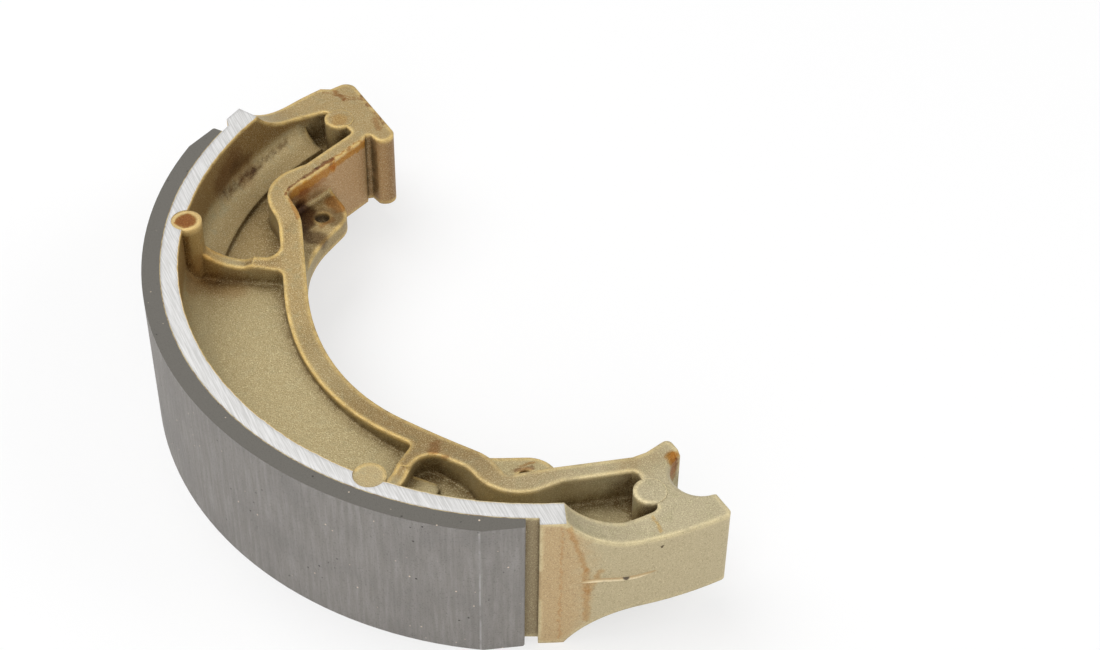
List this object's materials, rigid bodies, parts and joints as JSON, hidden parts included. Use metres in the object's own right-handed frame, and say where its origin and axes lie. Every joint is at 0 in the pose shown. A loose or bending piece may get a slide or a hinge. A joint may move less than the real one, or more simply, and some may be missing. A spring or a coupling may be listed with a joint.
{
  "type": "brake shoe",
  "caption": "Curved drum brake shoe: die-cast body with a bonded friction lining, cam flat at one end, pin seat at the other and spring ears.",
  "frame": {"origin": "on the drum axis, at the middle of the shoe's width", "axes": "+Z along the drum axis, the lining faces -X, the cam end is at +Y and the pin seat at -Y"},
  "size_m": [0.0637, 0.1258, 0.028],
  "materials": {
    "cast_alloy": "fine blasted casting with a golden chromate tint, brown stains in the recesses",
    "lining": "dark grey moulded friction material, ground matt",
    "adhesive": "thin cream adhesive film"
  },
  "bodies": {
    "root": {"shoe_casting": "cast_alloy", "friction_lining": "lining", "bond_film": "adhesive"}
  },
  "joints": []
}
